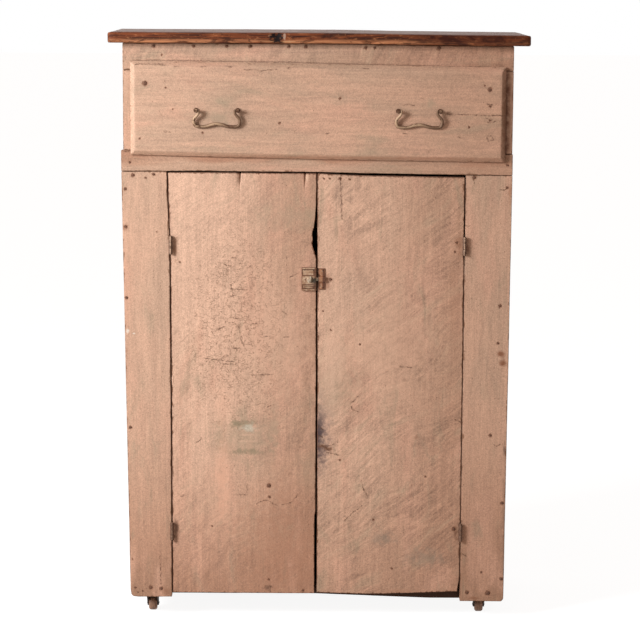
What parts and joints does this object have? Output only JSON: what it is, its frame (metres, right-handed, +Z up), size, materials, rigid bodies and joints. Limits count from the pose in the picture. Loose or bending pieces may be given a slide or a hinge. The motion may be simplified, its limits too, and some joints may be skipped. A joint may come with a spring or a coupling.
{
  "type": "jelly cupboard",
  "caption": "Tall narrow plank cupboard with a lipped drawer over a pair of board doors, overhanging top, bail pulls, a turn latch, butt hinges and swivelling casters.",
  "frame": {"origin": "on the floor, under the middle of the top", "axes": "+Z up, +X to the right as one faces the doors, +Y towards the back"},
  "size_m": [0.9, 0.3853, 1.281],
  "materials": {
    "painted_pine": "old flaking salmon milk paint",
    "bare_pine": "unpainted pine gone brown with age",
    "stained_top": "dark stain, worn pale at the edge",
    "aged_brass": "aged, dull",
    "dark_iron": "paint over rusty iron",
    "worn_bronze": "worn copper-brown",
    "caster_iron": "dark, dull",
    "wheel_wood": "turned, worn"
  },
  "bodies": {
    "case": {"side_left": "painted_pine", "side_right": "painted_pine", "back_board_1": "bare_pine", "back_board_2": "bare_pine", "back_board_3": "bare_pine", "back_board_4": "bare_pine", "bottom_board": "bare_pine", "top_board_front": "stained_top", "top_board_back": "stained_top", "top_rail": "painted_pine", "middle_rail": "painted_pine", "stile_left": "painted_pine", "stile_right": "painted_pine", "drawer_stile_left": "painted_pine", "drawer_stile_right": "painted_pine", "shelf_lower": "bare_pine", "shelf_upper": "bare_pine", "shelf_cleats": "bare_pine", "drawer_runners": "bare_pine", "drawer_kickers": "bare_pine", "hinge_leaves_case": "dark_iron", "hinge_pins": "dark_iron", "caster_blocks": "bare_pine", "caster_sockets": "dark_iron"},
    "drawer": {"drawer_front": "painted_pine", "drawer_side_left": "bare_pine", "drawer_side_right": "bare_pine", "drawer_back": "bare_pine", "drawer_bottom": "bare_pine", "pull_posts": "aged_brass", "pull_nuts": "dark_iron"},
    "bail_left": {"bail_left": "aged_brass"},
    "bail_right": {"bail_right": "aged_brass"},
    "door_left": {"door_board_left": "painted_pine", "door_battens_left": "bare_pine", "hinge_leaves_left": "dark_iron", "latch_case": "dark_iron"},
    "door_right": {"door_board_right": "painted_pine", "door_battens_right": "bare_pine", "hinge_leaves_right": "dark_iron", "latch_keeper": "worn_bronze"},
    "latch_bolt": {"latch_bolt": "dark_iron"},
    "latch_knob": {"latch_knob": "dark_iron"},
    "caster_swivel_front_left": {"caster_fork_front_left": "caster_iron", "caster_axle_front_left": "caster_iron"},
    "caster_wheel_front_left": {"caster_wheel_front_left": "wheel_wood"},
    "caster_swivel_front_right": {"caster_fork_front_right": "caster_iron", "caster_axle_front_right": "caster_iron"},
    "caster_wheel_front_right": {"caster_wheel_front_right": "wheel_wood"},
    "caster_swivel_back_left": {"caster_fork_back_left": "caster_iron", "caster_axle_back_left": "caster_iron"},
    "caster_wheel_back_left": {"caster_wheel_back_left": "wheel_wood"},
    "caster_swivel_back_right": {"caster_fork_back_right": "caster_iron", "caster_axle_back_right": "caster_iron"},
    "caster_wheel_back_right": {"caster_wheel_back_right": "wheel_wood"}
  },
  "joints": [
    {"name": "drawer_slide", "type": "slide", "parent": "case", "child": "drawer", "axis": [0, -1, 0], "range_m": [0, 0.25]},
    {"name": "bail_left_swing", "type": "hinge", "parent": "drawer", "child": "bail_left", "pos_m": [-0.215, -0.1913, 1.117], "axis": [-1, 0, 0], "range_deg": [0, 100]},
    {"name": "bail_right_swing", "type": "hinge", "parent": "drawer", "child": "bail_right", "pos_m": [0.215, -0.1913, 1.117], "axis": [-1, 0, 0], "range_deg": [0, 100]},
    {"name": "door_left_swing", "type": "hinge", "parent": "case", "child": "door_left", "pos_m": [-0.31575, -0.1724, 0.5], "axis": [0, 0, -1], "range_deg": [0, 170]},
    {"name": "door_right_swing", "type": "hinge", "parent": "case", "child": "door_right", "pos_m": [0.31575, -0.1724, 0.5], "axis": [0, 0, 1], "range_deg": [0, 170]},
    {"name": "latch_knob_turn", "type": "hinge", "parent": "door_left", "child": "latch_knob", "pos_m": [-0.016, -0.168, 0.755], "axis": [0, -1, 0], "range_deg": [0, 70]},
    {"name": "latch_bolt_slide", "type": "slide", "parent": "door_left", "child": "latch_bolt", "axis": [-1, 0, 0], "range_m": [0, 0.00688]},
    {"name": "caster_swivel_front_left_turn", "type": "hinge", "parent": "case", "child": "caster_swivel_front_left", "pos_m": [-0.363, -0.115, 0.03], "axis": [0, 0, 1], "continuous": true},
    {"name": "caster_wheel_front_left_roll", "type": "hinge", "parent": "caster_swivel_front_left", "child": "caster_wheel_front_left", "pos_m": [-0.363, -0.103, 0.016], "axis": [1, 0, 0], "continuous": true},
    {"name": "caster_swivel_front_right_turn", "type": "hinge", "parent": "case", "child": "caster_swivel_front_right", "pos_m": [0.363, -0.115, 0.03], "axis": [0, 0, 1], "continuous": true},
    {"name": "caster_wheel_front_right_roll", "type": "hinge", "parent": "caster_swivel_front_right", "child": "caster_wheel_front_right", "pos_m": [0.363, -0.103, 0.016], "axis": [1, 0, 0], "continuous": true},
    {"name": "caster_swivel_back_left_turn", "type": "hinge", "parent": "case", "child": "caster_swivel_back_left", "pos_m": [-0.363, 0.137, 0.03], "axis": [0, 0, 1], "continuous": true},
    {"name": "caster_wheel_back_left_roll", "type": "hinge", "parent": "caster_swivel_back_left", "child": "caster_wheel_back_left", "pos_m": [-0.363, 0.149, 0.016], "axis": [1, 0, 0], "continuous": true},
    {"name": "caster_swivel_back_right_turn", "type": "hinge", "parent": "case", "child": "caster_swivel_back_right", "pos_m": [0.363, 0.137, 0.03], "axis": [0, 0, 1], "continuous": true},
    {"name": "caster_wheel_back_right_roll", "type": "hinge", "parent": "caster_swivel_back_right", "child": "caster_wheel_back_right", "pos_m": [0.363, 0.149, 0.016], "axis": [1, 0, 0], "continuous": true}
  ],
  "couplings": [
    {"joint": "latch_bolt_slide", "follows": "latch_knob_turn", "m_per_rad": 0.00563}
  ]
}
